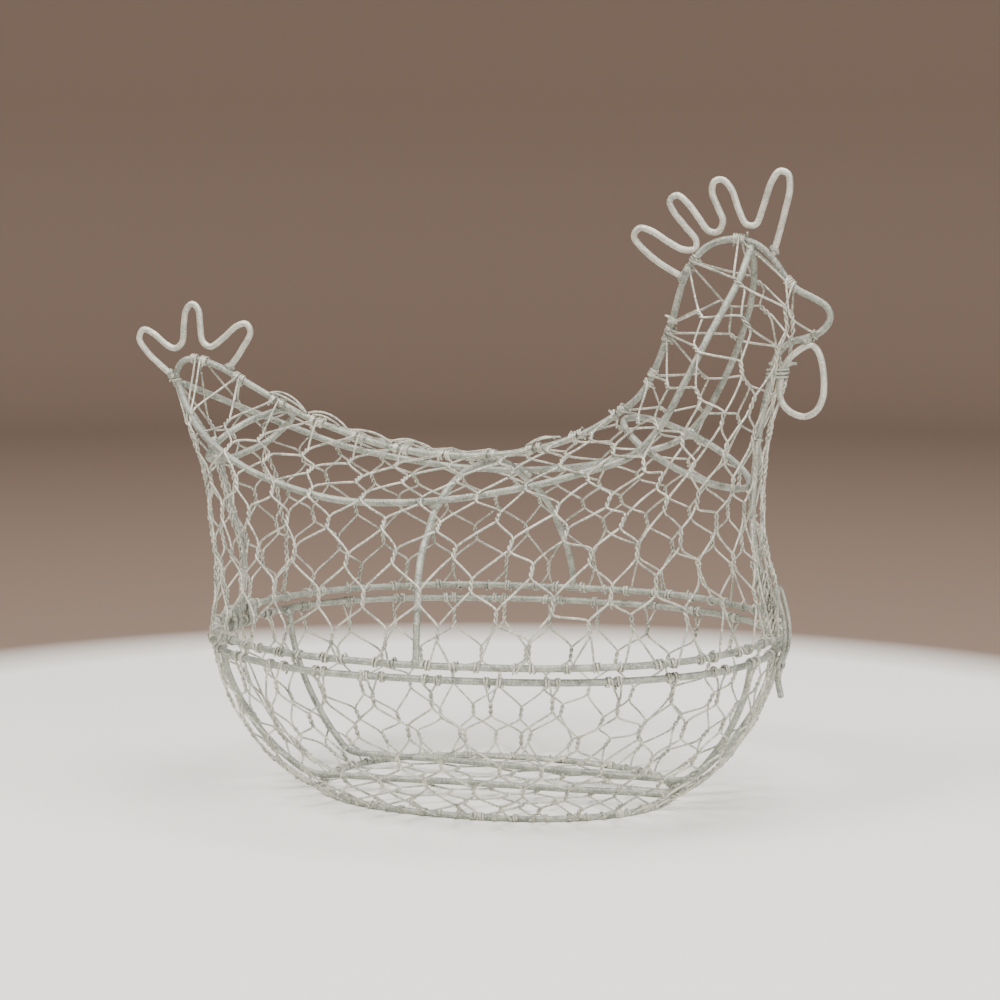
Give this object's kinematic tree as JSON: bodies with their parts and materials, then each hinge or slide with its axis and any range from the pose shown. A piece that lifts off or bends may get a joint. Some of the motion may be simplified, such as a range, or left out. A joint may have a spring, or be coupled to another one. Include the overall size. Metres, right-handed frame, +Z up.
{
  "type": "hen-shaped wire egg basket",
  "caption": "Oval wire egg basket shaped like a hen: a netting bowl with a hinged netting lid, wire comb, tail feathers, wattle and a breast clip.",
  "frame": {"origin": "centre of the bounding box in plan, on the plane that the base ring stands on", "axes": "+X from the tail to the head, +Y to the hen's left side, +Z up"},
  "size_m": [0.3716, 0.258, 0.316],
  "materials": {
    "frame_wire": "galvanised steel wire, weathered matte grey-green patina with whitish bloom",
    "trim_wire": "galvanised steel wire, paler and whiter weathered bloom",
    "netting_wire": "thin galvanised netting wire, dull grey with pale highlights",
    "tie_wire": "thin galvanised binding wire, darker grey"
  },
  "bodies": {
    "bowl": {"bowl_rim_ring": "frame_wire", "base_ring": "frame_wire", "bowl_rib_left": "frame_wire", "bowl_rib_right": "frame_wire", "bowl_netting": "netting_wire", "hinge_tie_1": "tie_wire", "hinge_tie_2": "tie_wire", "hinge_tie_3": "tie_wire", "hinge_tie_4": "tie_wire"},
    "lid": {"lid_rim_ring": "frame_wire", "spine_wire": "frame_wire", "side_rail_left": "frame_wire", "side_rail_right": "frame_wire", "belly_hoop": "frame_wire", "neck_hoop": "frame_wire", "tail_hoop": "frame_wire", "comb_wire": "trim_wire", "tail_feather_wire": "trim_wire", "wattle_loop": "trim_wire", "wattle_binding": "tie_wire", "lid_netting_left": "netting_wire", "lid_netting_right": "netting_wire"},
    "latch": {"latch_clip": "tie_wire"}
  },
  "joints": [
    {"name": "lid_hinge", "type": "hinge", "parent": "bowl", "child": "lid", "pos_m": [-0.1282, 0, 0.086], "axis": [0, -1, 0], "range_deg": [0, 95]},
    {"name": "latch_swing", "type": "hinge", "parent": "lid", "child": "latch", "pos_m": [0.1606, 0, 0.11], "axis": [0, -1, 0], "range_deg": [0, 45]}
  ]
}
